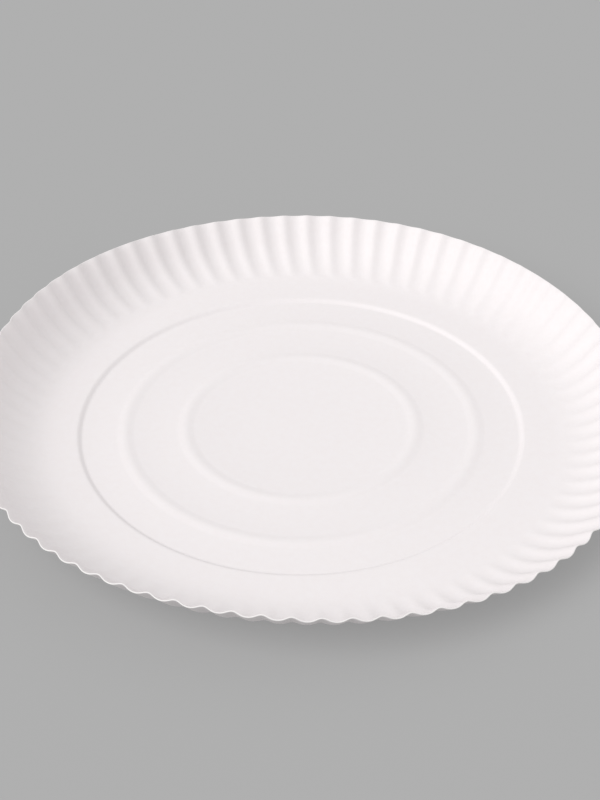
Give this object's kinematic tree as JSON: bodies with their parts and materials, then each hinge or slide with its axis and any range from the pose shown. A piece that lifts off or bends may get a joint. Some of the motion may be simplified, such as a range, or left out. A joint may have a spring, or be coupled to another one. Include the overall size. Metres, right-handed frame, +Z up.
{
  "type": "paper plate",
  "caption": "Round disposable paperboard plate with a flat base, shallow embossed rings and an upturned fluted rim that stiffens it.",
  "frame": {"origin": "centre of the flat base, on the face that stands on the table", "axes": "+Z up along the plate's axis of turning, with a flute's crest on +X"},
  "size_m": [0.2308, 0.2308, 0.0178],
  "materials": {
    "paperboard": "satin coated white paperboard"
  },
  "bodies": {
    "root": {"plate": "paperboard"}
  },
  "joints": []
}
